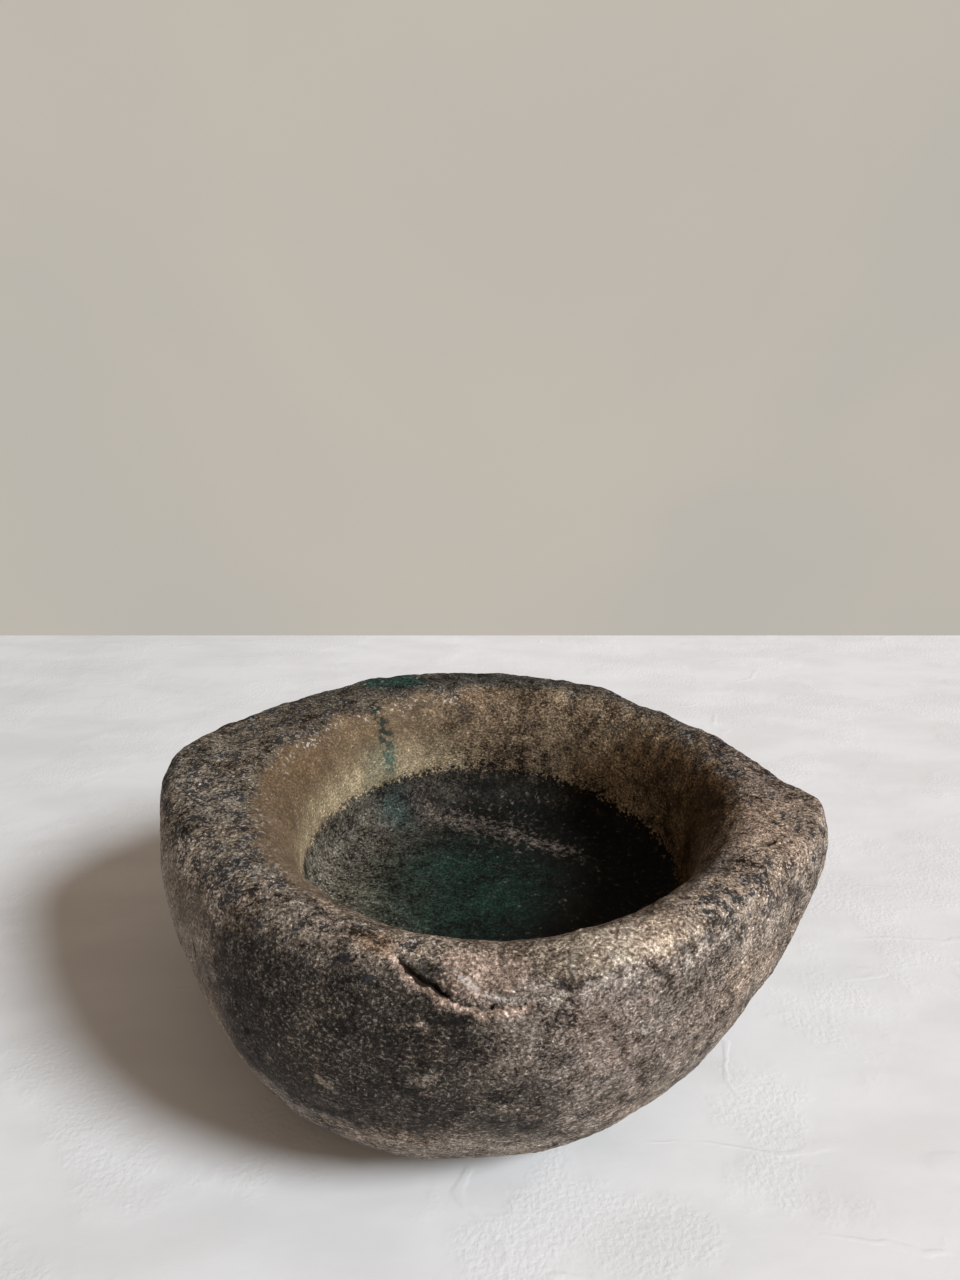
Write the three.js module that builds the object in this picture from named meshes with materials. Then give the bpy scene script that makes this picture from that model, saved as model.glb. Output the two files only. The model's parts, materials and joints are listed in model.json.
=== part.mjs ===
// A molcajete: a hand-carved stone mortar, cut from a single boulder and left with no legs.
// Millimetres, +Z up. The origin is on the resting face, under the axis of the round cavity.
// Bearings are in degrees, anticlockwise seen from above, from 0 at +X; the front of the stone is at 270.
import * as THREE from "three";
import { ParametricGeometry } from "three/addons/geometries/ParametricGeometry.js";

// Driving dimensions
const RIM_HEIGHT = 125; // resting face to the crest of the rim, before the rim's own wave
const CAVITY_DEPTH = 63; // rim crest to the edge of the cavity's floor
const MOUTH_RADIUS = 117; // inner edge of the rim's top, where it starts to roll into the cavity
const THROAT_RADIUS = 91; // cavity wall where it stands steepest
const THROAT_DEPTH = 44; // rim crest down to the throat
const FLOOR_RADIUS = 62; // edge of the cavity's nearly flat floor
const FLOOR_DISH = 2; // how far the floor's centre lies below its edge
const LEAST_RIM_WIDTH = 3; // narrowest flat on top of the rim
const FOOT_RADIUS = 72; // edge of the flat patch that the stone rests on
const FOOT_CENTRE = new THREE.Vector2(-10, -3); // a little left and in front of the cavity's axis

// The outer wall around the stone, a blunt lemon in plan with a corner at each side. At each bearing,
// belly is [radius, height] where the wall is widest, crest is the radius where its shoulder meets the
// rim's top, and wall and shoulder say how square its lower and upper curves are: 2 is round.
const OUTLINE = [
  { bearing: 3, belly: [140, 98], crest: 125, wall: 1.6, shoulder: 3 },
  { bearing: 20, belly: [126, 94], crest: 116, wall: 1.7, shoulder: 3.2 },
  { bearing: 42, belly: [124, 88], crest: 115, wall: 1.7, shoulder: 3.2 },
  { bearing: 64, belly: [131, 82], crest: 121, wall: 1.7, shoulder: 3.2 },
  { bearing: 90, belly: [136, 78], crest: 123, wall: 1.7, shoulder: 3.2 },
  { bearing: 120, belly: [147, 78], crest: 132, wall: 1.7, shoulder: 3.2 },
  { bearing: 148, belly: [153, 80], crest: 140, wall: 1.7, shoulder: 3.2 },
  { bearing: 168, belly: [164, 86], crest: 154, wall: 1.6, shoulder: 3.2 },
  { bearing: 180, belly: [158, 90], crest: 145, wall: 1.55, shoulder: 3 },
  { bearing: 193, belly: [150, 92], crest: 131, wall: 1.6, shoulder: 2.4 },
  { bearing: 215, belly: [143, 86], crest: 121, wall: 1.85, shoulder: 2.2 },
  { bearing: 240, belly: [143, 80], crest: 119, wall: 1.8, shoulder: 2.2 },
  { bearing: 270, belly: [136, 80], crest: 121, wall: 1.7, shoulder: 3 },
  { bearing: 300, belly: [130, 86], crest: 119, wall: 1.75, shoulder: 3 },
  { bearing: 328, belly: [134, 99], crest: 122, wall: 1.8, shoulder: 3 },
  { bearing: 350, belly: [148, 108], crest: 139, wall: 1.55, shoulder: 3 },
];
// How far the rim's crest stands above or below RIM_HEIGHT, as [bearing, height].
const RIM_WAVE = [[0, 2], [45, 1], [90, 2], [135, 2], [180, 0], [225, -1], [270, -3], [315, 0]];

// Squareness of the rolled lip and of the curve from the cavity's wall to its floor
const LIP_SQUARENESS = 2.3;
const CAVITY_SQUARENESS = 2.6;

// Broad hollows in the surface, each a soft dent at a bearing, radius and height.
const HOLLOWS = [
  { bearing: 267, radius: 131, height: 119, reach: 18, depth: 6 }, // the broken front of the rim
  { bearing: 46, radius: 121, height: 121, reach: 8, depth: 2.5 }, // a nick in the back of the rim
  { bearing: 1, radius: 139, height: 120, reach: 8, depth: 3 }, // a nick beside the right corner
  { bearing: 322, radius: 118, height: 124, reach: 14, depth: 1.5 }, // a worn dip in the rim's top
];
const HOLLOW_SLANT = new THREE.Vector2(0.6, 0.8); // shares of a hollow's depth that run inwards and down

// Mesh density: slices around the stone, and rings along each stretch of a section
const SLICES = 96;
const FOOT_RINGS = 4;
const WALL_RINGS = 12;
const SHOULDER_RINGS = 11;
const RIM_RINGS = 3;
const LIP_RINGS = 9;
const CAVITY_RINGS = 6;
const FLOOR_RINGS = 4;

const STONE_FINISH = { color: 0x6f6259, roughness: 0.85, metalness: 0 };

// A smooth periodic curve through [bearing, value] pairs, as a function of the bearing in degrees.
function ring(pairs) {
  const count = pairs.length;
  const at = (i) => {
    const turn = Math.floor(i / count);
    const [bearing, value] = pairs[i - turn * count];
    return [bearing + 360 * turn, value];
  };
  const slope = (i) => (at(i + 1)[1] - at(i - 1)[1]) / (at(i + 1)[0] - at(i - 1)[0]);
  return (degrees) => {
    let i = count - 1;
    while (at(i)[0] > degrees) i--;
    const [start, from] = at(i);
    const [end, to] = at(i + 1);
    const span = end - start;
    const t = (degrees - start) / span;
    const rise = 3 * t * t - 2 * t * t * t;
    const leave = t * (1 - t) * (1 - t) * span * slope(i);
    const arrive = t * t * (t - 1) * span * slope(i + 1);
    return from + (to - from) * rise + leave + arrive;
  };
}

// One quarter of a superellipse, as the points after a, up to b. It runs level at the end named level
// and upright at the other, so that two quarters join smoothly.
function quarter(a, b, squareness, steps, level) {
  const levelEnd = level === "start" ? a : b;
  const uprightEnd = level === "start" ? b : a;
  return Array.from({ length: steps }, (_, i) => {
    const turn = ((i + 1) / steps) * (Math.PI / 2);
    const angle = level === "start" ? Math.PI / 2 - turn : turn;
    return new THREE.Vector2(
      THREE.MathUtils.lerp(levelEnd.x, uprightEnd.x, Math.cos(angle) ** (2 / squareness)),
      THREE.MathUtils.lerp(uprightEnd.y, levelEnd.y, Math.sin(angle) ** (2 / squareness)),
    );
  });
}

// Points after a, up to b, on a straight line.
function straight(a, b, steps) {
  return Array.from({ length: steps }, (_, i) => a.clone().lerp(b, (i + 1) / steps));
}

const outline = (value) => ring(OUTLINE.map((station) => [station.bearing, value(station)]));
const bellyRadius = outline((station) => station.belly[0]);
const bellyHeight = outline((station) => station.belly[1]);
const crestRadius = outline((station) => station.crest);
const wallSquareness = outline((station) => station.wall);
const shoulderSquareness = outline((station) => station.shoulder);
const rimWave = ring(RIM_WAVE);

// Distance from the cavity's axis to the foot's edge, whose centre is off that axis.
function footRadius(degrees) {
  const angle = THREE.MathUtils.degToRad(degrees);
  return FOOT_RADIUS + FOOT_CENTRE.x * Math.cos(angle) + FOOT_CENTRE.y * Math.sin(angle);
}

// The section of the stone at a bearing, as [radius, height] points from the foot's centre,
// out and up the wall, over the rim and down the cavity to the floor's centre.
function section(degrees) {
  const crest = RIM_HEIGHT + rimWave(degrees);
  const floor = RIM_HEIGHT - CAVITY_DEPTH;
  const footCentre = new THREE.Vector2(0, 0);
  const footEdge = new THREE.Vector2(footRadius(degrees), 0);
  const belly = new THREE.Vector2(bellyRadius(degrees), bellyHeight(degrees));
  const outerCrest = new THREE.Vector2(crestRadius(degrees), crest);
  const innerCrest = new THREE.Vector2(Math.min(MOUTH_RADIUS, outerCrest.x - LEAST_RIM_WIDTH), crest);
  const throat = new THREE.Vector2(THROAT_RADIUS, RIM_HEIGHT - THROAT_DEPTH);
  const floorEdge = new THREE.Vector2(FLOOR_RADIUS, floor);
  const floorCentre = new THREE.Vector2(0, floor - FLOOR_DISH);
  return [
    footCentre,
    ...straight(footCentre, footEdge, FOOT_RINGS),
    ...quarter(footEdge, belly, wallSquareness(degrees), WALL_RINGS, "start"),
    ...quarter(belly, outerCrest, shoulderSquareness(degrees), SHOULDER_RINGS, "end"),
    ...straight(outerCrest, innerCrest, RIM_RINGS),
    ...quarter(innerCrest, throat, LIP_SQUARENESS, LIP_RINGS, "start"),
    ...quarter(throat, floorEdge, CAVITY_SQUARENESS, CAVITY_RINGS, "end"),
    ...straight(floorEdge, floorCentre, FLOOR_RINGS),
  ];
}

function polar(degrees, radius, height) {
  const angle = THREE.MathUtils.degToRad(degrees);
  return new THREE.Vector3(radius * Math.cos(angle), radius * Math.sin(angle), height);
}

// Moves a point into the stone by every hollow that reaches it.
function sinkIntoHollows(point) {
  const inward = new THREE.Vector3(-point.x, -point.y, 0).setLength(HOLLOW_SLANT.x).setZ(-HOLLOW_SLANT.y);
  for (const hollow of HOLLOWS) {
    const away = point.distanceTo(polar(hollow.bearing, hollow.radius, hollow.height));
    point.addScaledVector(inward, hollow.depth * Math.exp(-((away / hollow.reach) ** 2)));
  }
}

function stoneGeometry() {
  const sections = Array.from({ length: SLICES }, (_, i) => section((i * 360) / SLICES));
  const rings = sections[0].length - 1;
  const surface = (u, v, target) => {
    const slice = Math.round(u * SLICES) % SLICES;
    const { x, y } = sections[slice][Math.round(v * rings)];
    target.copy(polar((slice * 360) / SLICES, x, y));
    if (y > 0) sinkIntoHollows(target);
  };
  return new ParametricGeometry(surface, SLICES, rings);
}

function stoneBowl() {
  const mesh = new THREE.Mesh(stoneGeometry(), new THREE.MeshStandardMaterial(STONE_FINISH));
  mesh.name = "stone_bowl";
  return mesh;
}

const molcajete = new THREE.Group();
molcajete.add(stoneBowl());

export default molcajete;
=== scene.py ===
import json
import math

import bmesh
import bpy
import numpy as np
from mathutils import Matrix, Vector, noise


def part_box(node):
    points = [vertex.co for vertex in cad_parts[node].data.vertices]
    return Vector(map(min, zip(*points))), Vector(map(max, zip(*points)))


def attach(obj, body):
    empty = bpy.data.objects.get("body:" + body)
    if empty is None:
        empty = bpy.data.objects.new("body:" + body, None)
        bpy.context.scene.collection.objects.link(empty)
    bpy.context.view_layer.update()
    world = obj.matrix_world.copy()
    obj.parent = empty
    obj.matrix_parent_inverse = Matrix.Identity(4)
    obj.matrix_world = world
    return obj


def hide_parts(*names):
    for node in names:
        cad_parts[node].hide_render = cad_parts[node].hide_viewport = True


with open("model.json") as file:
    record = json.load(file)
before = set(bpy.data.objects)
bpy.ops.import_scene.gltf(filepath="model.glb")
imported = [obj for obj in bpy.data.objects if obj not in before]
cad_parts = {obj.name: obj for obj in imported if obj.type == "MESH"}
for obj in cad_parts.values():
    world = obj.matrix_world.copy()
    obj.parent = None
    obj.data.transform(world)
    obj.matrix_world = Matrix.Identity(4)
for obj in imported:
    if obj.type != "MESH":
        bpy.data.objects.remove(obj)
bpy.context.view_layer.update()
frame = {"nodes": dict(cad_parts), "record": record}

MM = 0.001

# Places taken from the frame
STONE = "stone_bowl"
OPENINGS = {opening["name"]: opening["box_m"] for opening in frame["record"]["physics"]["openings"]}
RIM_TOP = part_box(STONE)[1].z
FLOOR_HEIGHT = OPENINGS["bowl_floor"][0][2]
WALL_RADIUS = math.hypot(*OPENINGS["bowl_wall"][1][:2])

# The mesh: an even skin of quads, with its edges cut finer near the break in the rim. The fold and the
# corner say which triangles of the solid are joined into quads, in radians.
MERGE_DISTANCE = 0.01 * MM
SHARPEST_FOLD = 0.8
LOOSEST_CORNER = 3.1
ROUNDING_LEVELS = 2
SKIN_STEP = 1.5 * MM
EASING = 0.5
EASING_STEPS = 4
FINE_REACH = 6 * MM
FINE_CUTS = 3

# How far each kind of feature moves the skin, and how far the break wanders off its lines
SWELL_DEPTH = 1.2 * MM
TOOLING_DEPTH = 0.7 * MM
CREST_DEPTH = 0.45 * MM
CHIP_DEPTH = MM
GRAIN_DEPTH = 0.32 * MM
PIT_DEPTH = 0.9 * MM
CRACK_DEPTH = 2.4 * MM
DISH_DEPTH = 2.3 * MM
LEDGE_DEPTH = 1.5 * MM
LEDGE_EDGE = 0.9 * MM
SEAM_DEPTH = 0.8 * MM
WANDER = 1.1 * MM

# The break in the front of the rim, in millimetres: a crack, then a ragged ledge that ends it, with a brown
# seam and a painted highlight along the ledge's crest. OUTWARD is the way that the break faces.
CRACK = [(-38, -114, 122), (-33, -120, 121), (-29, -124, 119.5), (-23, -126.5, 117), (-18, -128.5, 114)]
LEDGE = [(-18, -128.5, 114), (-12, -129, 111.5), (-7, -129.5, 110.5), (1, -129.5, 111), (8, -129.5, 113)]
SEAM = [(0, -114, 120), (1, -121, 118), (-1, -126, 115)]
# Where the painted highlight runs along the ledge's crest
LEDGE_HIGHLIGHT = [(-17, -120, 120), (-12, -124, 117), (-7, -127, 114.5), (3, -128.5, 113.5)]
OUTWARD = (0, -0.6, 0.8)

# A streak of pale silt across the back of the bowl's floor, in millimetres
SILT = [(-50, 78, 67), (-12, 64, 64), (18, 51, 64), (40, 38, 64)]

# The knob at the right corner of the rim and the notch behind it: place, reach and height, in millimetres
KNOB = ((142, -14, 120), 9, 1.6)
NOTCH = ((137, 5, 121), 5, -2.2)

# How high dark water stood in the bowl: a plane a little tilted in the stone
TIDE_HEIGHT = 0.0775
TIDE_TILT = (-0.06, 0.06)

# The stone's average colour round its walls, round the crest of its rim and round the wall of the bowl,
# at bearings in degrees
WALLS = [
    (0, (0.158, 0.131, 0.108)),
    (90, (0.130, 0.110, 0.094)),
    (165, (0.180, 0.155, 0.132)),
    (195, (0.250, 0.213, 0.178)),
    (222, (0.145, 0.124, 0.102)),
    (262, (0.152, 0.127, 0.104)),
    (285, (0.124, 0.104, 0.090)),
    (315, (0.156, 0.127, 0.102)),
    (340, (0.165, 0.137, 0.111)),
    (360, (0.158, 0.131, 0.108)),
]
CREST = [
    (0, (0.125, 0.098, 0.077)),
    (35, (0.083, 0.066, 0.050)),
    (90, (0.040, 0.039, 0.033)),
    (150, (0.074, 0.061, 0.044)),
    (182, (0.125, 0.109, 0.085)),
    (210, (0.105, 0.092, 0.074)),
    (243, (0.166, 0.136, 0.110)),
    (284, (0.270, 0.232, 0.182)),
    (302, (0.212, 0.178, 0.143)),
    (325, (0.178, 0.144, 0.114)),
    (360, (0.125, 0.098, 0.077)),
]
BOWL_WALL = [
    (0, (0.066, 0.040, 0.018)),
    # Painted bounce light: the back right of the bowl's wall is paler than the stone, for light that
    # bounces into it
    (45, (0.205, 0.160, 0.105)),
    (90, (0.102, 0.074, 0.047)),
    (130, (0.108, 0.077, 0.045)),
    (165, (0.085, 0.056, 0.030)),
    (215, (0.110, 0.080, 0.050)),
    (250, (0.160, 0.132, 0.104)),
    (320, (0.150, 0.124, 0.098)),
    (360, (0.066, 0.040, 0.018)),
]
# Charcoal below the tide line, by bearing; its near black at the right, where the rim's shadow falls, is
# partly painted shadow
BELOW_TIDE = [
    (0, (0.0040, 0.0034, 0.0022)),
    (50, (0.0055, 0.0048, 0.0034)),
    (92, (0.013, 0.012, 0.0085)),
    (130, (0.042, 0.038, 0.030)),
    (180, (0.086, 0.079, 0.060)),
    (230, (0.058, 0.055, 0.043)),
    (300, (0.010, 0.011, 0.009)),
    (360, (0.0040, 0.0034, 0.0022)),
]

# Crystals from dark to pale, and the brightness among them that leaves the stone's average colour as it is
CRYSTALS = [
    (0.34, (0.050, 0.042, 0.035)),
    (0.44, (0.130, 0.121, 0.113)),
    (0.52, (0.220, 0.216, 0.210)),
    (0.60, (0.358, 0.358, 0.355)),
    (0.70, (0.630, 0.641, 0.652)),
]
SMOOTHED_CRYSTALS = (0.20, 0.20, 0.20)
GRAIN_MEAN = 0.157

# Stains and worn places laid over the stone, and painted shade and painted highlights by the break and on
# the bowl's floor
LOW_STONE = (0.165, 0.142, 0.118)
SOOT = (0.017, 0.015, 0.012)
CREAM = (0.275, 0.226, 0.142)
# Painted shadow: near black on the right half of the bowl's floor, where the rim's shadow falls
FLOOR_SHADOW_BLACK = (0.0020, 0.0026, 0.0017)
SILT_COLOUR = (0.074, 0.060, 0.050)
FLOOR_TEAL = (0.0045, 0.0160, 0.0115)
TRAIL_TEAL = (0.012, 0.029, 0.027)
RIM_GREEN = (0.010, 0.036, 0.030)
GREEN_HAZE = (0.050, 0.076, 0.056)
DRIP_LOW = (0.046, 0.074, 0.056)
DRIP_HIGH = (0.004, 0.014, 0.012)
# Pale worn stone with a painted highlight, on the ridge right of the break
WORN_RIDGE_HIGHLIGHT = (0.340, 0.305, 0.265)
FRESH_STONE = (0.235, 0.178, 0.142)
SEAM_BROWN = (0.175, 0.118, 0.076)
# Painted shade on the dish beside the crack
CRACK_SIDE_SHADE = (0.050, 0.045, 0.036)
CLUSTER_BLACK = (0.021, 0.022, 0.025)
WHITE_SPECK = (0.50, 0.47, 0.43)
# Painted highlight along the crest of the ledge
LEDGE_HIGHLIGHT_WHITE = (0.56, 0.53, 0.49)
# Painted shade in the crack, under the ledge and along the seam
CRACK_SHADE = (0.016, 0.010, 0.006)

# Colours that multiply what they lie on
PALE_DRIFT = (1.14, 1.08, 1.03)
DARK_DRIFT = (0.90, 0.91, 0.91)
FLECK_SHADE = (0.14, 0.122, 0.110)
CREVICE_SHADE = (0.26, 0.23, 0.21)
GLINT = (2.1, 2.15, 2.2)
POCK_SHADE = (0.22, 0.19, 0.17)
# Painted shade in the pits
PAINTED_PIT_SHADE = (0.40, 0.37, 0.34)
# Lighter on the raised tips of the relief
LIGHTER_TIP = (1.22, 1.20, 1.17)

# The stone's gloss, and the strength and depth of its bump
STONE_SPECULAR = 0.18
STONE_BUMP = (0.8, 1.1 * MM)

# The floor, in metres: its sides, how far behind the stone it ends, and its plaster
FLOOR_SIZE = (6, 4)
WALL_BEHIND = 0.54
PLASTER_PALE = (0.735, 0.742, 0.735)
PLASTER_GREY = (0.675, 0.680, 0.670)
# Painted shade: the floor darkened towards the left, where the room's light falls off
PLASTER_FALLOFF_SHADE = (0.86, 0.865, 0.865)
PLASTER_ROUGHNESS = 0.75
PLASTER_SPECULAR = 0.3
PLASTER_BUMP = (0.35, 1.2 * MM)

# The light of the room, how much stronger it is from the window's side, and the wall that the camera sees
ROOM_COLOUR = (1.0, 0.79, 0.64, 1)
ROOM_STRENGTH = 0.265
WINDOW_GLOW = 0.25
WINDOW_SIDE = (0.80, -0.35, 0.49)
SEEN_WALL = ((0.35, (0.492, 0.466, 0.420, 1)), (0.65, (0.545, 0.494, 0.428, 1)))

# The camera: where it stands, its tilt below level, its lens and its film, both in millimetres
EYE = (-0.0073, -0.3776, 0.3343)
LOOK_DOWN = 20.3
LENS = 26
FILM_WIDTH = 36


def smoothstep(values, low, high):
    share = np.clip((values - low) / (high - low), 0, 1)
    return share * share * (3 - 2 * share)


def waves(points, size, seed, octaves=2):
    """Smooth noise from about -1 to 1 at each point, with features about size across."""
    shift = Vector((3.1, 7.7, 5.3)) * seed
    return np.array([noise.fractal(Vector(p) / size + shift, 1.0, 2.0, octaves) for p in points])


def pits(points, spacing, radius, share, seed):
    """Scattered round pits, 1 at the bottom and 0 outside, in a share of the cells of a loose lattice."""
    shift = Vector((1.9, 4.3, 8.1)) * seed
    depth = np.zeros(len(points))
    for i, p in enumerate(points):
        distances, centres = noise.voronoi(Vector(p) / spacing + shift)
        luck = 0.5 + 0.5 * noise.cell(centres[0] * 7.13)
        if luck < share:
            reach = radius * (0.5 + 0.5 * luck / share)
            depth[i] = max(0.0, 1 - (distances[0] * spacing / reach) ** 2)
    return depth


def beside_line(points, line):
    """How far each point is from a line of straight pieces, on which side, and how far along it."""
    corners = np.array(line) * MM
    away = np.full(len(points), 1.0)
    along = np.zeros(len(points))
    side = np.zeros(len(points))
    for i, (start, end) in enumerate(zip(corners[:-1], corners[1:])):
        step = end - start
        share = np.clip((points - start) @ step / (step @ step), 0, 1)
        offset = points - start - share[:, None] * step
        distance = np.linalg.norm(offset, axis=1)
        nearer = distance < away
        away = np.where(nearer, distance, away)
        along = np.where(nearer, (i + share) / (len(corners) - 1), along)
        side = np.where(nearer, np.sign(offset @ np.cross(step, OUTWARD)), side)
    return away, side, along


def close_to(away, reach, core=1.0):
    """Falls from 1 to 0 by core times reach from a line, and is 1 within (core - 1) times reach of it."""
    return np.clip(core - away / reach, 0, 1)


def mound(points, place, reach, height):
    """A round swelling, or a hollow if its height is negative. Its place and sizes are in millimetres."""
    away = np.sum((points - np.array(place) * MM) ** 2, axis=1)
    return height * MM * np.exp(-away / (reach * MM) ** 2)


# ---- The stone's skin ----

def even_skin():
    """The CAD solid as one even, smooth skin of small quads."""
    mesh = frame["nodes"][STONE].data.copy()
    shell = bmesh.new()
    shell.from_mesh(mesh)
    bmesh.ops.remove_doubles(shell, verts=shell.verts, dist=MERGE_DISTANCE)
    bmesh.ops.join_triangles(
        shell,
        faces=shell.faces,
        angle_face_threshold=SHARPEST_FOLD,
        angle_shape_threshold=LOOSEST_CORNER,
    )
    shell.to_mesh(mesh)
    shell.free()
    mesh.materials.clear()
    stone = bpy.data.objects.new("carved_stone", mesh)
    bpy.context.scene.collection.objects.link(stone)
    rounding = stone.modifiers.new("rounding", "SUBSURF")
    rounding.levels = rounding.render_levels = ROUNDING_LEVELS
    skin = stone.modifiers.new("skin", "REMESH")
    skin.mode = "VOXEL"
    skin.voxel_size = SKIN_STEP
    easing = stone.modifiers.new("easing", "SMOOTH")
    easing.factor = EASING
    easing.iterations = EASING_STEPS
    bpy.context.view_layer.update()
    skinned = bpy.data.meshes.new_from_object(stone.evaluated_get(bpy.context.evaluated_depsgraph_get()))
    stone.modifiers.clear()
    stone.data = skinned
    return stone


def refine_break(stone):
    """Cuts the skin finer along the crack and its ledge."""
    shell = bmesh.new()
    shell.from_mesh(stone.data)
    points = np.array([v.co for v in shell.verts])
    near = np.minimum(beside_line(points, CRACK)[0], beside_line(points, LEDGE)[0]) < FINE_REACH
    shell.verts.ensure_lookup_table()
    edges = [e for e in shell.edges if near[e.verts[0].index] and near[e.verts[1].index]]
    bmesh.ops.subdivide_edges(shell, edges=edges, cuts=FINE_CUTS, use_grid_fill=True)
    many_sided = [f for f in shell.faces if len(f.verts) > 4]
    bmesh.ops.triangulate(shell, faces=many_sided)
    shell.to_mesh(stone.data)
    shell.free()


def worn_skin(points, inside, crest):
    """How far swells, tool marks, the worn crest, grain and pits move each point, and their fine relief."""
    swell = waves(points, 55 * MM, seed=1) * SWELL_DEPTH * (1 - 0.7 * inside)
    tooling = waves(points, 15 * MM, seed=2) * TOOLING_DEPTH * (1 - 0.6 * inside)
    chips = pits(points, 30 * MM, 7 * MM, share=0.5, seed=11) * CHIP_DEPTH * crest
    ragged = waves(points, 12 * MM, seed=3, octaves=3) * CREST_DEPTH * crest - chips
    grain = waves(points, 3.2 * MM, seed=4, octaves=3)
    rough = grain * GRAIN_DEPTH * (1 - 0.5 * inside)
    hollows = pits(points, 11 * MM, 2.6 * MM, share=0.22, seed=5)
    hollows += pits(points, 6 * MM, 1.3 * MM, share=0.2, seed=6)
    hollows *= 1 - 0.6 * inside
    return swell + tooling + ragged + rough - hollows * PIT_DEPTH, grain - 2 * hollows


def broken_front(points):
    """How far the break moves each point, and its masks: a crack undercuts the edge of a lower dish."""
    wander = np.stack([waves(points, 4 * MM, seed) for seed in (7, 8, 9)], axis=1) * WANDER
    crack_away, crack_side, crack_along = beside_line(points + wander, CRACK)
    ledge_away, ledge_side, _ = beside_line(points + wander, LEDGE)
    seam_away, _, _ = beside_line(points + wander, SEAM)
    highlight_away, _, _ = beside_line(points + wander, LEDGE_HIGHLIGHT)
    silt_away, _, _ = beside_line(points + 4 * wander, SILT)

    middle = np.sin(np.pi * np.clip(crack_along * 0.97, 0, 1))
    crack = close_to(crack_away, (0.3 + 1.5 * middle) * MM, core=1.35)
    dropped = (crack_side < 0) * np.exp(-((crack_away / (11 * MM)) ** 2)) * np.sqrt(middle)
    chipped = np.clip(waves(points, 4 * MM, seed=10) * 2.2 + 0.15, 0, 1)
    ledge = close_to(ledge_away, 0.9 * MM, core=1.3) * chipped
    edge = close_to(ledge_away, 3 * MM) * (ledge_side < 0)
    seam = close_to(seam_away, 2.4 * MM)
    offset = LEDGE_EDGE * edge - LEDGE_DEPTH * ledge - SEAM_DEPTH * seam
    offset -= CRACK_DEPTH * crack + DISH_DEPTH * dropped

    lip = close_to(crack_away, 2.3 * MM, core=2.1) * (crack_side > 0) * (crack_along > 0)
    face = close_to(ledge_away, 2.6 * MM, core=1.7) * (ledge_side > 0)
    seam_groove = close_to(seam_away, 2.8 * MM, core=1.3)
    masks = {
        # The crack mask carries painted shade: in the crack, under the ledge and, fainter, along the seam
        "crack": np.maximum(crack, np.maximum(0.75 * ledge, 0.42 * seam_groove)),
        "fresh": np.maximum(lip, face),
        # Painted highlight along the ledge's crest
        "ledge_highlight": close_to(highlight_away, 1.3 * MM, core=1.3),
        "silt": close_to(silt_away, 9 * MM, core=1.3),
    }
    return offset, masks


def carve(stone):
    """Moves the skin along its normals, and leaves on it the masks that the finish reads."""
    mesh = stone.data
    points = np.empty(len(mesh.vertices) * 3)
    mesh.vertices.foreach_get("co", points)
    points = points.reshape(-1, 3)
    normals = np.array([v.normal for v in mesh.vertices])
    radius = np.hypot(points[:, 0], points[:, 1])
    height = points[:, 2]
    inside = smoothstep(-radius, -WALL_RADIUS - 14 * MM, -WALL_RADIUS - 4 * MM) * (height > 50 * MM)
    above_foot = smoothstep(height, 1 * MM, 9 * MM)
    crest = smoothstep(height, RIM_TOP - 16 * MM, RIM_TOP - 5 * MM) * (1 - inside)

    worn, relief = worn_skin(points, inside, crest)
    broken, masks = broken_front(points)
    offset = worn + broken + mound(points, *KNOB) + mound(points, *NOTCH)
    points += normals * (offset * above_foot)[:, None]
    mesh.vertices.foreach_set("co", points.ravel())
    for name, values in {"relief": relief, **masks}.items():
        mesh.attributes.new(name, "FLOAT", "POINT").data.foreach_set("value", values.astype(np.float32))
    for polygon in mesh.polygons:
        polygon.use_smooth = True
    mesh.update()


# ---- The finishes ----

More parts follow.
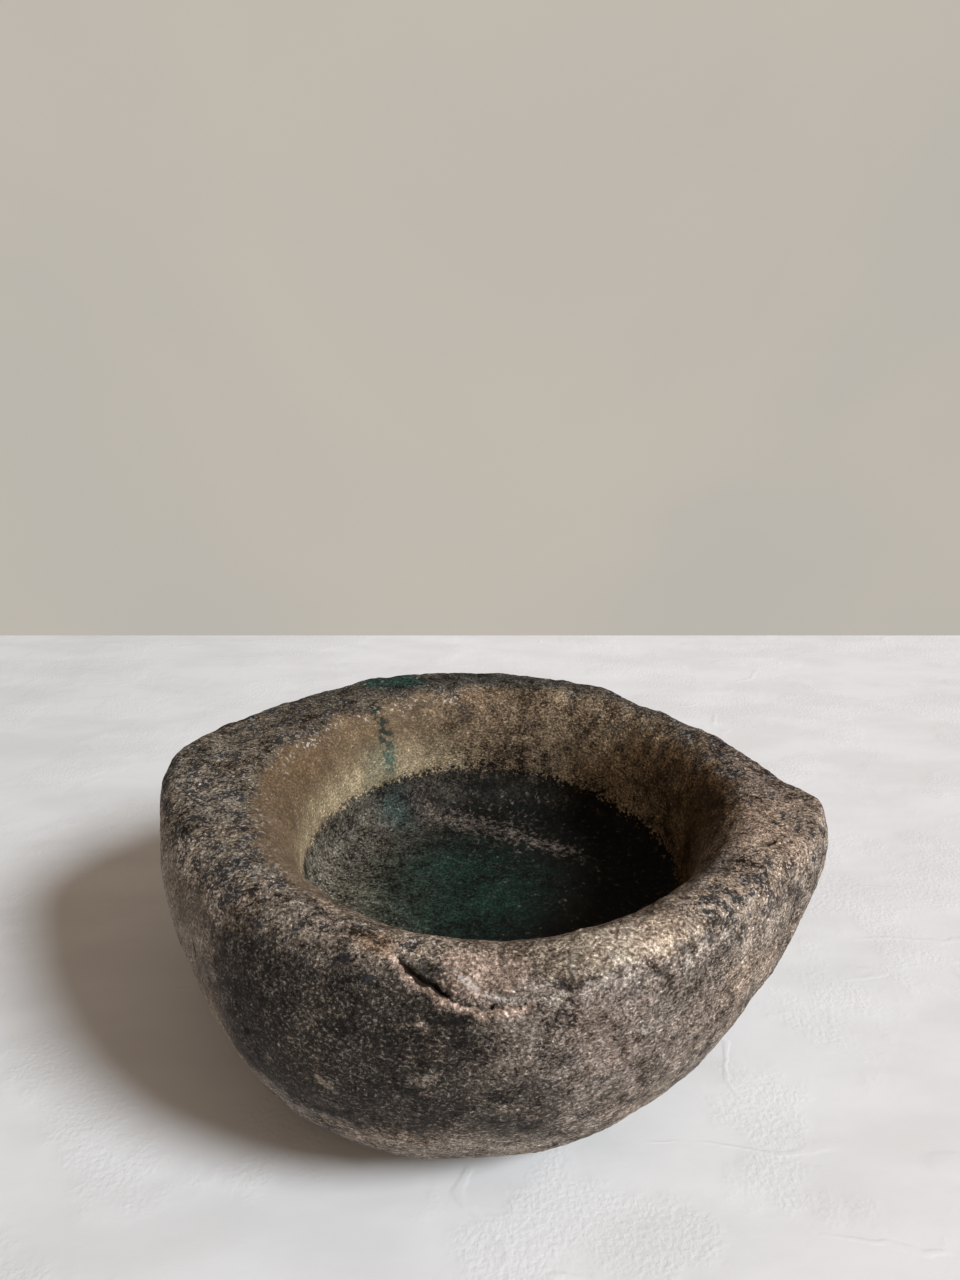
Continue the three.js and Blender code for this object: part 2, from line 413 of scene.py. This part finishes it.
class Finish:
    """A short way to build one material out of nodes. Every place and size in it is in millimetres."""

    def __init__(self, name, size=(1, 1, 1)):
        self.material = bpy.data.materials.new(name)
        self.material.use_nodes = True
        self.nodes = self.material.node_tree.nodes
        self.links = self.material.node_tree.links
        self.shader = self.nodes["Principled BSDF"]
        place = self.nodes.new("ShaderNodeTexCoord").outputs["Object"]
        self.place = self.stretched(place, tuple(side / MM for side in size))
        self.x, self.y, self.z = self.split(self.place)

    def put(self, socket, value):
        if isinstance(value, bpy.types.NodeSocket):
            self.links.new(value, socket)
        else:
            socket.default_value = value

    def math(self, operation, a, b=0.0):
        node = self.nodes.new("ShaderNodeMath")
        node.operation = operation
        self.put(node.inputs[0], a)
        self.put(node.inputs[1], b)
        return node.outputs[0]

    def plus(self, a, b):
        return self.math("ADD", a, b)

    def minus(self, a, b):
        return self.math("SUBTRACT", a, b)

    def times(self, a, b):
        return self.math("MULTIPLY", a, b)

    def both(self, *masks):
        result = masks[0]
        for mask in masks[1:]:
            result = self.times(result, mask)
        return result

    def most(self, *masks):
        result = masks[0]
        for mask in masks[1:]:
            result = self.math("MAXIMUM", result, mask)
        return result

    def inverse(self, mask):
        return self.minus(1.0, mask)

    def rise(self, value, low, high):
        """0 below low and 1 above high, or the other way round if high is the smaller."""
        node = self.nodes.new("ShaderNodeMapRange")
        node.interpolation_type = "SMOOTHSTEP"
        self.put(node.inputs["Value"], value)
        swap = high < low
        node.inputs["From Min"].default_value = high if swap else low
        node.inputs["From Max"].default_value = low if swap else high
        node.inputs["To Min"].default_value = 1.0 if swap else 0.0
        node.inputs["To Max"].default_value = 0.0 if swap else 1.0
        return node.outputs["Result"]

    def band(self, value, low, high, soft):
        above = self.rise(value, low - soft, low + soft)
        under = self.rise(value, high + soft, high - soft)
        return self.both(above, under)

    def vector(self, operation, *values, output="Vector"):
        node = self.nodes.new("ShaderNodeVectorMath")
        node.operation = operation
        for socket, value in zip(node.inputs, values):
            self.put(socket, value)
        return node.outputs[output]

    def stretched(self, place, scale):
        return self.vector("MULTIPLY", place, scale)

    def split(self, place):
        node = self.nodes.new("ShaderNodeSeparateXYZ")
        self.links.new(place, node.inputs[0])
        return node.outputs

    def towards(self, place, bearing, half_width, soft):
        """1 within half_width degrees of a bearing, fading out over soft degrees more."""
        angle = math.radians(bearing)
        unit = self.vector("NORMALIZE", self.stretched(place, (1, 1, 0)))
        along = self.vector("DOT_PRODUCT", unit, (math.cos(angle), math.sin(angle), 0), output="Value")
        far = math.cos(math.radians(half_width + soft))
        near = math.cos(math.radians(half_width))
        return self.rise(along, far, near)

    def spot(self, place, centre, reach, soft, stretch=(1, 1, 1)):
        """1 within reach of a point, fading out over soft more, and wider along the sides of stretch."""
        away = self.vector("DIVIDE", self.vector("SUBTRACT", place, centre), stretch)
        return self.rise(self.vector("LENGTH", away, output="Value"), reach + soft, reach)

    def noise(self, size, seed, detail=2.0, place=None, roughness=0.55):
        """Noise from 0 to 1 with features about size across."""
        node = self.nodes.new("ShaderNodeTexNoise")
        node.inputs["Scale"].default_value = 1 / size
        node.inputs["Detail"].default_value = detail
        node.inputs["Roughness"].default_value = roughness
        shifted = self.vector("ADD", place or self.place, (13.7 * seed, 5.9 * seed, 9.1 * seed))
        self.links.new(shifted, node.inputs["Vector"])
        return node.outputs["Fac"]

    def warped(self, size, amount, seed):
        """The place, pushed about by noise, so that what is drawn with it has ragged edges."""
        node = self.nodes.new("ShaderNodeTexNoise")
        node.inputs["Scale"].default_value = 1 / size
        node.inputs["Detail"].default_value = 3.0
        shifted = self.vector("ADD", self.place, (4.1 * seed, 2.3 * seed, 6.7 * seed))
        self.links.new(shifted, node.inputs["Vector"])
        centred = self.vector("SUBTRACT", node.outputs["Color"], (0.5, 0.5, 0.5))
        return self.vector("MULTIPLY_ADD", centred, (amount,) * 3, self.place)

    def attribute(self, name):
        node = self.nodes.new("ShaderNodeAttribute")
        node.attribute_name = name
        return node.outputs["Fac"]

    def ramp(self, value, stops):
        node = self.nodes.new("ShaderNodeValToRGB")
        self.links.new(value, node.inputs["Fac"])
        elements = node.color_ramp.elements
        while len(elements) < len(stops):
            elements.new(0.5)
        for element, (position, colour) in zip(elements, stops):
            element.position = position
            element.color = (*colour, 1)
        return node.outputs["Color"]

    def around(self, turn, stops):
        """A colour that changes with the share of a turn, given as colours at bearings in degrees."""
        return self.ramp(turn, [(degrees / 360, colour) for degrees, colour in stops])

    def mix(self, base, top, share, strength=None, blend="MIX"):
        """The base with another colour over it where share is 1, thinned by strength if there is one."""
        node = self.nodes.new("ShaderNodeMix")
        node.data_type = "RGBA"
        node.blend_type = blend
        self.put(node.inputs["Factor"], self.times(share, strength) if strength else share)
        for socket, value in ((node.inputs[6], base), (node.inputs[7], top)):
            self.put(socket, (*value, 1) if isinstance(value, tuple) else value)
        return node.outputs[2]

    def shade(self, base, factor, share, strength=None):
        """The base multiplied by another colour where share is 1."""
        return self.mix(base, factor, share, strength, "MULTIPLY")

    def scaled(self, colour, factor):
        node = self.nodes.new("ShaderNodeVectorMath")
        node.operation = "SCALE"
        self.links.new(colour, node.inputs[0])
        node.inputs["Scale"].default_value = factor
        return node.outputs[0]

    def bump(self, height, strength, distance):
        node = self.nodes.new("ShaderNodeBump")
        node.inputs["Strength"].default_value = strength
        node.inputs["Distance"].default_value = distance
        self.links.new(height, node.inputs["Height"])
        self.links.new(node.outputs[0], self.shader.inputs["Normal"])


class StoneFinish(Finish):
    """Stone with stains placed by bearing and height. Each method lays some over the colour so far."""

    def __init__(self):
        super().__init__("worn_stone")
        self.ragged = self.warped(16, 14, seed=1)
        self.crisp = self.warped(1.8, 1.2, seed=2)
        self.level = self.stretched(self.crisp, (1, 1, 1.7))
        self.ragged_x, ragged_y, self.ragged_z = self.split(self.ragged)
        turn = self.math("DIVIDE", self.math("ARCTAN2", ragged_y, self.ragged_x), 2 * math.pi)
        self.turn = self.math("FRACT", turn)
        self.find_regions()
        self.find_crystals()
        self.find_worn_places()

    def find_regions(self):
        """The bowl and its wall, the outside, the crest of the rim, and the height over the tide line."""
        self.floor = FLOOR_HEIGHT / MM
        self.rim_top = RIM_TOP / MM
        wall = WALL_RADIUS / MM
        radius = self.math("SQRT", self.plus(self.times(self.x, self.x), self.times(self.y, self.y)))
        self.in_bowl = self.both(self.rise(radius, wall + 25, wall + 17), self.rise(self.z, 50, 56))
        self.outside = self.inverse(self.in_bowl)
        self.on_rim = self.rise(self.ragged_z, self.rim_top - 10, self.rim_top - 5)
        inner_lip = self.rise(self.ragged_z, self.rim_top + 1, self.rim_top - 4)
        self.on_wall = self.both(self.in_bowl, inner_lip)
        tide = self.plus(self.times(self.x, TIDE_TILT[0]), self.times(self.y, TIDE_TILT[1]))
        self.over_tide = self.minus(self.minus(self.z, tide), TIDE_HEIGHT / MM)

    def find_crystals(self):
        """How light each crystal is, and where dark ones lie closer together."""
        self.pale = self.noise(1.4, 2, 3.0, self.stretched(self.crisp, (1, 1, 1.3)), roughness=0.72)
        patch = self.minus(self.noise(6, seed=3, detail=3.0), 0.5)
        broad = self.minus(self.noise(22, seed=17), 0.5)
        self.dense = self.plus(self.times(patch, 0.7), self.times(broad, 0.5))

    def find_worn_places(self):
        """Where the stone is worn smooth, freshly broken or rubbed pale, or lies under the painted
        highlight of the ridge, and so has fewer dark flecks.
        """
        left_wall = self.both(self.on_wall, self.towards(self.place, 170, 46, 34))
        smooth_wall = self.both(left_wall, self.rise(self.over_tide, -1, 3))
        below_rim = self.rise(self.ragged_z, 118, 106)
        self.smooth_flank = self.both(self.outside, self.towards(self.place, 187, 24, 16), below_rim)
        self.smooth = self.most(smooth_wall, self.times(self.smooth_flank, 0.75))
        dish = self.both(self.spot(self.ragged, (-7, -119, 118), 8, 6, (1.4, 1, 1)), self.outside)
        self.fresh = self.most(self.times(dish, 0.85), self.attribute("fresh"))
        # The ridge right of the break: pale worn stone with a painted highlight on it
        ridge_height = self.band(self.ragged_z, self.rim_top - 14, self.rim_top - 10, 4)
        ridge = self.both(self.towards(self.ragged, 293, 15, 7), ridge_height, self.outside)
        self.ridge = self.both(ridge, self.rise(self.noise(5, seed=13, detail=3.0), 0.44, 0.56))
        upper_wall = self.both(self.on_wall, self.rise(self.over_tide, 12, 22))
        worn_crest = self.both(self.towards(self.ragged, 289, 12, 8), self.on_rim)
        self.speckled = self.inverse(self.most(
            self.times(self.smooth, 0.9),
            self.times(self.fresh, 0.8),
            self.times(self.ridge, 0.7),
            self.times(upper_wall, 0.35),
            self.times(worn_crest, 0.6),
        ))

    def bare_stone(self):
        """The average colour of the walls, the rim and the foot."""
        colour = self.around(self.turn, WALLS)
        colour = self.mix(colour, self.around(self.turn, CREST), self.on_rim)
        low = self.both(self.rise(self.ragged_z, 66, 46), self.outside)
        return self.mix(colour, LOW_STONE, low, 0.85)

    def sooted(self, colour):
        """Soot at the front left and, thinner, below the break. The palest crystals show through it."""
        left = self.both(self.towards(self.ragged, 245, 17, 11), self.band(self.ragged_z, 57, 120, 5))
        middle = self.both(self.towards(self.ragged, 262, 12, 8), self.band(self.ragged_z, 55, 86, 9))
        middle = self.times(self.both(middle, self.outside), 0.85)
        soot = self.most(self.both(left, self.outside), middle)
        soot = self.both(soot, self.rise(self.noise(14, seed=5, detail=3.0), 0.27, 0.43))
        worn_through = self.times(self.rise(self.pale, 0.50, 0.66), 0.30)
        return self.mix(colour, SOOT, self.both(soot, self.inverse(worn_through)), 0.95)

    def drifting(self, colour):
        """Broad patches a little paler and a little darker than the rest."""
        drift = self.noise(30, seed=4, detail=3.0)
        colour = self.shade(colour, PALE_DRIFT, self.rise(drift, 0.48, 0.66))
        return self.shade(colour, DARK_DRIFT, self.rise(drift, 0.50, 0.34))

    def bowl_wall(self, colour):
        """Brown, then a cream band over the tide line at the left."""
        # The bowl's wall by bearing, with painted bounce light at the back right
        colour = self.mix(colour, self.around(self.turn, BOWL_WALL), self.on_wall)
        left = self.both(self.in_bowl, self.towards(self.ragged, 152, 34, 30))
        cream = self.both(left, self.band(self.over_tide, -2, 14, 15))
        return self.mix(colour, CREAM, cream, 0.88)

    def below_tide(self, colour):
        """Charcoal under a speckled line, with a green-black floor that has painted shadow near black on
        its right half, and streaks of silt and teal.
        """
        speckle = self.times(self.minus(self.noise(1.9, seed=8), 0.5), 22)
        under = self.both(self.in_bowl, self.rise(self.plus(self.over_tide, speckle), 0.8, -0.8))
        colour = self.mix(colour, self.around(self.turn, BELOW_TIDE), under)
        on_floor = self.both(under, self.rise(self.z, self.floor + 7, self.floor + 1))
        # Painted shadow: the right half of the bowl's floor near black
        colour = self.mix(colour, FLOOR_SHADOW_BLACK, self.both(on_floor, self.rise(self.ragged_x, -66, -6)))
        streaks = self.noise(3.0, 16, 3.0, self.stretched(self.crisp, (1, 1, 0.35)), roughness=0.65)
        back_left = self.times(self.towards(self.ragged, 135, 50, 40), 0.06)
        settled = self.plus(self.times(self.attribute("silt"), 0.16), back_left)
        silt = self.both(under, self.rise(self.plus(streaks, settled), 0.57, 0.76))
        colour = self.mix(colour, SILT_COLOUR, silt, 0.8)
        teal = self.both(under, self.spot(self.ragged, (-22, 6, self.floor), 20, 46))
        colour = self.mix(colour, FLOOR_TEAL, teal, 0.8)
        trail = self.both(under, self.spot(self.ragged, (-52, 66, 72), 5, 15))
        return self.mix(colour, TRAIL_TEAL, trail, 0.6)

    def green_stain(self, colour):
        """A green patch on the back left of the rim, and its drip down the bowl's wall."""
        green = self.spot(self.ragged, (-56, 114, 127), 7, 8, (1.6, 1, 1))
        colour = self.mix(colour, RIM_GREEN, green, 0.85)
        haze = self.both(self.in_bowl, self.towards(self.ragged, 131, 4, 5))
        haze = self.both(haze, self.band(self.over_tide, 3, 22, 7))
        colour = self.mix(colour, GREEN_HAZE, haze, 0.40)
        run = self.warped(7, 7, seed=11)
        drip = self.both(self.in_bowl, self.towards(run, 128, 0.9, 2.1), self.rise(self.over_tide, 2, 10))
        drip = self.both(drip, self.rise(self.noise(3.5, seed=11), 0.41, 0.52))
        drip_colour = self.mix(DRIP_LOW, DRIP_HIGH, self.rise(self.z, 100, 112))
        return self.mix(colour, drip_colour, drip, 0.85)

    def broken_front(self, colour):
        """A pale worn ridge right of the break with a painted highlight on it, fresh stone in the break, a
        brown patch by the crack and painted shade beside it.
        """
        # Painted highlight on the pale worn ridge
        colour = self.mix(colour, WORN_RIDGE_HIGHLIGHT, self.ridge, 0.70)
        colour = self.mix(colour, FRESH_STONE, self.fresh, 0.9)
        brown = self.both(self.spot(self.ragged, (-43, -109, 124), 4, 6), self.outside)
        colour = self.mix(colour, SEAM_BROWN, brown, 0.7)
        # Painted shade on the dish beside the crack
        dark = self.both(self.spot(self.ragged, (-26, -120, 119), 2.0, 4.0, (1.3, 1, 1)), self.outside)
        return self.mix(colour, CRACK_SIDE_SHADE, dark, 0.8)

    def crystalline(self, colour):
        """A close mix of dark and pale crystals that leaves the average colour as it is."""
        crystals = self.ramp(self.plus(self.pale, self.times(self.dense, -0.45)), CRYSTALS)
        crystals = self.mix(crystals, SMOOTHED_CRYSTALS, self.smooth, 0.5)
        return self.scaled(self.shade(colour, crystals, 1.0), 1 / GRAIN_MEAN)

    def flecked(self, colour):
        """Dark flecks lying level, dark crevices and a few bright crystals, and a mask of the dark ones."""
        splash = self.both(self.in_bowl, self.towards(self.ragged, 62, 45, 30))
        splash = self.both(splash, self.band(self.over_tide, -1, 11, 7))
        fleck = self.plus(self.noise(1.7, 14, 2.0, self.level, roughness=0.6), self.dense)
        fleck = self.plus(fleck, self.times(splash, 0.07))
        flecks = self.both(self.rise(fleck, 0.620, 0.645), self.speckled)
        colour = self.shade(colour, FLECK_SHADE, flecks, 0.96)
        seams = self.minus(self.noise(3.4, 20, 2.0, self.level, roughness=0.6), 0.5)
        crevice = self.rise(self.math("ABSOLUTE", seams), 0.030, 0.009)
        crevice = self.both(crevice, self.rise(self.noise(5, seed=21), 0.36, 0.50), self.speckled)
        colour = self.shade(colour, CREVICE_SHADE, crevice, 0.88)
        glint = self.rise(self.noise(1.6, 15, 1.0, self.level), 0.645, 0.68)
        colour = self.shade(colour, GLINT, glint, 0.8)
        return colour, self.most(flecks, crevice)

    def clustered(self, colour):
        """Blue-black clusters on the crest of the rim, with white specks among them and inside the lip."""
        gathered = self.most(
            self.towards(self.ragged, 197, 20, 12),
            self.towards(self.ragged, 317, 9, 7),
            self.towards(self.ragged, 145, 12, 8),
            self.towards(self.ragged, 25, 22, 12),
        )
        cluster = self.plus(self.noise(7, 6, 3.0, self.ragged), self.times(gathered, 0.085))
        cluster = self.rise(cluster, 0.585, 0.615)
        speck = self.rise(self.noise(1.5, 7, 2.0, self.crisp), 0.58, 0.53)
        upper = self.rise(self.ragged_z, self.rim_top - 26, self.rim_top - 8)
        clusters = self.both(upper, cluster, speck, self.speckled)
        colour = self.mix(colour, CLUSTER_BLACK, clusters, 0.88)
        lip_height = self.band(self.ragged_z, self.rim_top - 7, self.rim_top - 1, 2)
        lip = self.both(self.towards(self.ragged, 134, 32, 8), lip_height)
        lip = self.both(lip, self.rise(self.noise(9, seed=19), 0.44, 0.52), self.in_bowl)
        whitened = self.most(self.times(self.both(cluster, self.on_rim), 0.5), lip)
        white = self.both(whitened, self.rise(self.noise(2.0, 12, 2.0, self.crisp), 0.575, 0.625))
        return self.mix(colour, WHITE_SPECK, white, 0.75)

    def marked(self, colour):
        """A painted highlight along the crest of the ledge in the break, and sparse pocks in the smooth
        flank at the left.
        """
        highlight_breakup = self.rise(self.noise(1.6, 18, 2.0, self.crisp), 0.46, 0.54)
        # Painted highlight along the ledge's crest, broken up by noise
        colour = self.mix(colour, LEDGE_HIGHLIGHT_WHITE, self.both(self.attribute("ledge_highlight"), highlight_breakup), 0.85)
        pocks = self.rise(self.noise(3.0, 22, 1.0, self.stretched(self.crisp, (1, 1, 0.6))), 0.66, 0.70)
        return self.shade(colour, POCK_SHADE, self.both(self.smooth_flank, pocks), 0.9)

    def shaded_pits_and_crack(self, colour):
        """Painted shade in the pits and in the crack, under its ledge and along its seam, and lighter
        raised tips.
        """
        relief = self.attribute("relief")
        # Painted shade in the pits
        colour = self.shade(colour, PAINTED_PIT_SHADE, self.rise(relief, -0.5, -1.5))
        # Lighter on the raised tips of the relief
        colour = self.shade(colour, LIGHTER_TIP, self.rise(relief, 0.25, 0.9))
        # Painted shade in the crack, under the ledge and along the seam
        return self.mix(colour, CRACK_SHADE, self.rise(self.attribute("crack"), 0.15, 0.6))


def stone_finish():
    f = StoneFinish()
    colour = f.drifting(f.sooted(f.bare_stone()))
    colour = f.below_tide(f.bowl_wall(colour))
    colour = f.broken_front(f.green_stain(colour))
    colour, dark = f.flecked(f.crystalline(colour))
    colour = f.shaded_pits_and_crack(f.marked(f.clustered(colour)))
    grain = f.minus(f.pale, f.times(dark, 0.25))
    f.put(f.shader.inputs["Base Color"], colour)
    f.put(f.shader.inputs["Roughness"], f.plus(f.times(grain, 0.4), 0.5))
    f.shader.inputs["Specular IOR Level"].default_value = STONE_SPECULAR
    f.bump(grain, *STONE_BUMP)
    return f.material


def plaster_finish(size):
    """White plaster with trowel strokes, thin raised lines and patches of crumbs, darkened towards the left
    by painted shade.
    """
    f = Finish("plaster", size)
    broad = f.noise(90, 1, 3.0, f.stretched(f.place, (1, 2.2, 1)))
    strokes = f.noise(9, 2, 5.0, f.stretched(f.warped(60, 40, seed=3), (0.7, 1.4, 1)), roughness=0.6)
    crumbs = f.both(f.noise(2.2, seed=9), f.rise(f.noise(60, seed=10, detail=3.0), 0.47, 0.60))
    lines = f.noise(150, 6, 2.0, f.stretched(f.warped(25, 10, seed=7), (0.5, 1.3, 1)))
    away = f.math("ABSOLUTE", f.minus(lines, 0.5))
    ridges = f.both(f.rise(away, 0.006, 0.001), f.rise(f.noise(45, seed=8), 0.46, 0.60))
    marks = f.plus(f.times(strokes, 0.28), f.times(ridges, 0.4))
    marks = f.plus(marks, f.times(crumbs, 0.9))
    colour = f.mix(PLASTER_PALE, PLASTER_GREY, f.rise(broad, 0.35, 0.68))
    # Painted shade: darker towards the left, where the room's light falls off
    colour = f.shade(colour, PLASTER_FALLOFF_SHADE, f.rise(f.x, 0, -400))
    f.put(f.shader.inputs["Base Color"], colour)
    f.shader.inputs["Roughness"].default_value = PLASTER_ROUGHNESS
    f.shader.inputs["Specular IOR Level"].default_value = PLASTER_SPECULAR
    f.bump(f.plus(f.times(broad, 0.35), marks), *PLASTER_BUMP)
    return f.material


# ---- The set ----

def plaster_floor():
    """A hand-trowelled white floor that ends some way behind the stone."""
    bpy.ops.mesh.primitive_plane_add(size=1)
    floor = bpy.context.object
    floor.name = "plaster_floor"
    floor.scale = (*FLOOR_SIZE, 1)
    floor.location = (0, WALL_BEHIND - FLOOR_SIZE[1] / 2, 0)
    floor.data.materials.append(plaster_finish(floor.scale))


def window_light(bearing, elevation, width, strength, colour):
    """Even light from one side, as from a far window that spans width degrees of the sky."""
    lamp = bpy.data.lights.new("window", "SUN")
    lamp.angle = math.radians(width)
    lamp.energy = strength
    lamp.color = colour
    body = bpy.data.objects.new("window", lamp)
    body.rotation_euler = (math.radians(90 - elevation), 0, math.radians(90 + bearing))
    bpy.context.scene.collection.objects.link(body)


def room_light(nodes, links, direction):
    """Dim warm light, stronger from the window's side."""
    light = nodes["Background"]
    light.inputs["Color"].default_value = ROOM_COLOUR
    facing = nodes.new("ShaderNodeVectorMath")
    facing.operation = "DOT_PRODUCT"
    facing.inputs[1].default_value = WINDOW_SIDE
    links.new(direction, facing.inputs[0])
    strength = nodes.new("ShaderNodeMath")
    strength.operation = "MULTIPLY_ADD"
    strength.inputs[1].default_value = WINDOW_GLOW
    strength.inputs[2].default_value = ROOM_STRENGTH
    links.new(facing.outputs["Value"], strength.inputs[0])
    links.new(strength.outputs[0], light.inputs["Strength"])
    return light.outputs[0]


def seen_wall(nodes, links, direction):
    """The softly mottled wall that the camera sees behind the floor."""
    mottle = nodes.new("ShaderNodeTexNoise")
    mottle.inputs["Scale"].default_value = 1.7
    mottle.inputs["Detail"].default_value = 7.0
    mottle.inputs["Distortion"].default_value = 0.6
    links.new(direction, mottle.inputs["Vector"])
    wall = nodes.new("ShaderNodeValToRGB")
    for element, (position, colour) in zip(wall.color_ramp.elements, SEEN_WALL):
        element.position = position
        element.color = colour
    links.new(mottle.outputs["Fac"], wall.inputs["Fac"])
    seen = nodes.new("ShaderNodeBackground")
    links.new(wall.outputs["Color"], seen.inputs["Color"])
    return seen.outputs[0]


def surroundings():
    """Light from the room, and a wall that only the camera sees."""
    world = bpy.data.worlds.new("room")
    bpy.context.scene.world = world
    world.use_nodes = True
    nodes, links = world.node_tree.nodes, world.node_tree.links
    direction = nodes.new("ShaderNodeTexCoord").outputs["Generated"]
    path = nodes.new("ShaderNodeLightPath")
    mix = nodes.new("ShaderNodeMixShader")
    links.new(path.outputs["Is Camera Ray"], mix.inputs[0])
    links.new(room_light(nodes, links, direction), mix.inputs[1])
    links.new(seen_wall(nodes, links, direction), mix.inputs[2])
    links.new(mix.outputs[0], nodes["World Output"].inputs[0])


def camera():
    lens = bpy.data.cameras.new("camera")
    lens.sensor_width = FILM_WIDTH
    lens.lens = LENS
    eye = bpy.data.objects.new("camera", lens)
    eye.location = EYE
    eye.rotation_euler = (math.radians(90 - LOOK_DOWN), 0, 0)
    bpy.context.scene.collection.objects.link(eye)
    bpy.context.scene.camera = eye


def molcajete():
    """The stone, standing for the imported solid."""
    stone = even_skin()
    refine_break(stone)
    carve(stone)
    stone.data.materials.append(stone_finish())
    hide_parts(STONE)
    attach(stone, "root")


camera()
surroundings()
window_light(bearing=-30, elevation=39, width=16, strength=3.75, colour=(0.955, 1.0, 1.07))
plaster_floor()
molcajete()
bpy.context.scene.view_settings.view_transform = "Standard"
